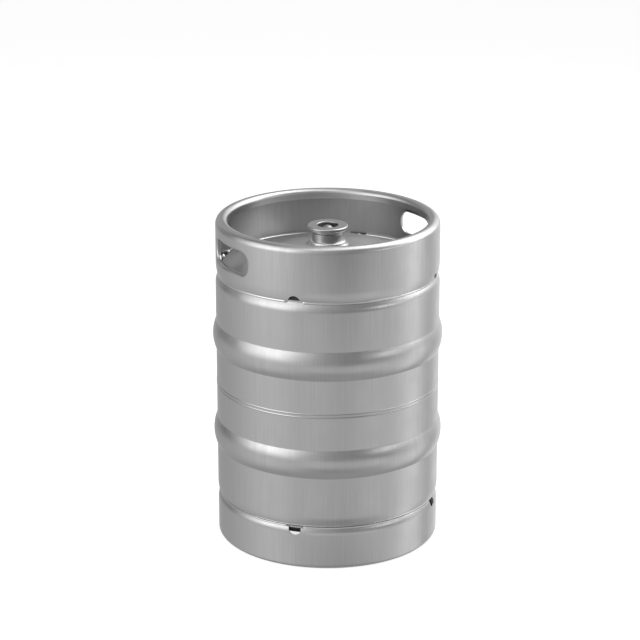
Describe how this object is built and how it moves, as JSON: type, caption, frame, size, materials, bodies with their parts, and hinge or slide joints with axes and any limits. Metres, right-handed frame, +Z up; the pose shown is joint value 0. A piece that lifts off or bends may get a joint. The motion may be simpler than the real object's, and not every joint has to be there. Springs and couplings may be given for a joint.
{
  "type": "beer keg",
  "caption": "Cylindrical stainless steel beer keg with rolling hoops, a top collar with hand holes, a foot ring and a screw-in valve fitting with a down tube.",
  "frame": {"origin": "on the floor under the keg's axis, at the centre of the foot ring's rest face", "axes": "+Z up along the keg's axis, -Y towards the front, +X to the right seen from the front"},
  "size_m": [0.4099, 0.41, 0.5903],
  "materials": {
    "shell_steel": "drawn stainless steel, brushed upright to a fine satin grain",
    "chime_steel": "stainless sheet, rolled and brushed upright, with polished rolled edges",
    "weld_steel": "smooth machine-laid stainless weld, lightly brushed",
    "valve_steel": "turned and polished stainless steel with fine lathe rings",
    "tube_steel": "drawn thin-wall stainless tube",
    "ball_steel": "ground and polished stainless steel ball",
    "spring_steel": "drawn stainless spring wire",
    "seal_rubber": "moulded black food-grade rubber",
    "bush_plastic": "turned white acetal plastic"
  },
  "bodies": {
    "keg": {"upper_shell": "shell_steel", "lower_shell": "shell_steel", "girth_weld": "weld_steel", "top_chime": "chime_steel", "bottom_chime": "chime_steel", "top_chime_weld": "weld_steel", "bottom_chime_weld": "weld_steel", "neck": "valve_steel", "neck_weld": "weld_steel", "valve_body": "valve_steel", "neck_gasket": "seal_rubber", "spring_retainer": "valve_steel", "retaining_clip": "spring_steel", "guide_bush": "bush_plastic", "gas_spring": "spring_steel"},
    "stem": {"valve_seal": "seal_rubber", "seal_cup": "valve_steel", "tube_head": "valve_steel", "down_tube": "tube_steel", "ball_spring": "spring_steel"},
    "ball": {"valve_ball": "ball_steel"}
  },
  "joints": [
    {"name": "gas_valve_slide", "type": "slide", "parent": "keg", "child": "stem", "axis": [0, 0, -1], "range_m": [0, 0.004], "stiffness_N_per_m": 4000, "springref_m": -0.008, "deforming": ["gas_spring"]},
    {"name": "ball_slide", "type": "slide", "parent": "stem", "child": "ball", "axis": [0, 0, -1], "range_m": [0, 0.004], "stiffness_N_per_m": 1500, "springref_m": -0.004, "deforming": ["ball_spring"]}
  ]
}
